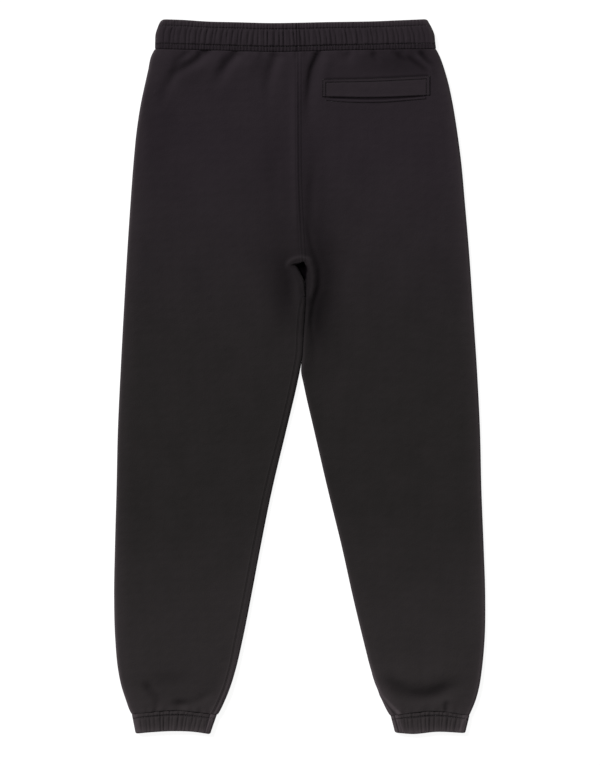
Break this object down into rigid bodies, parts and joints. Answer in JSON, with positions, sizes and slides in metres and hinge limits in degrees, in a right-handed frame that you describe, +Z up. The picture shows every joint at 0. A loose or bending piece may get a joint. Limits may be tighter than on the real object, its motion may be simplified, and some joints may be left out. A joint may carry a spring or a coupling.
{
  "type": "jogger sweatpants",
  "caption": "Fleece jogger sweatpants laid flat with the back up: gathered elastic waistband and cuffs, leg panels and a welt pocket.",
  "frame": {"origin": "on the surface the garment lies on, under the middle of its outline", "axes": "+Z up from the surface, out of the garment's back side; +Y up the garment to the waist; +X to the wearer's right"},
  "size_m": [0.5184, 0.9996, 0.0131],
  "materials": {
    "fleece": "brushed-back cotton fleece, matt, near black",
    "band_fleece": "gathered cotton fleece over elastic, matt, near black"
  },
  "bodies": {
    "root": {"back_leg_left": "fleece", "back_leg_right": "fleece", "front_leg_left": "fleece", "front_leg_right": "fleece", "waistband": "band_fleece", "cuff_left": "band_fleece", "cuff_right": "band_fleece", "pocket_welt": "fleece", "pocket_lip": "fleece"}
  },
  "joints": []
}
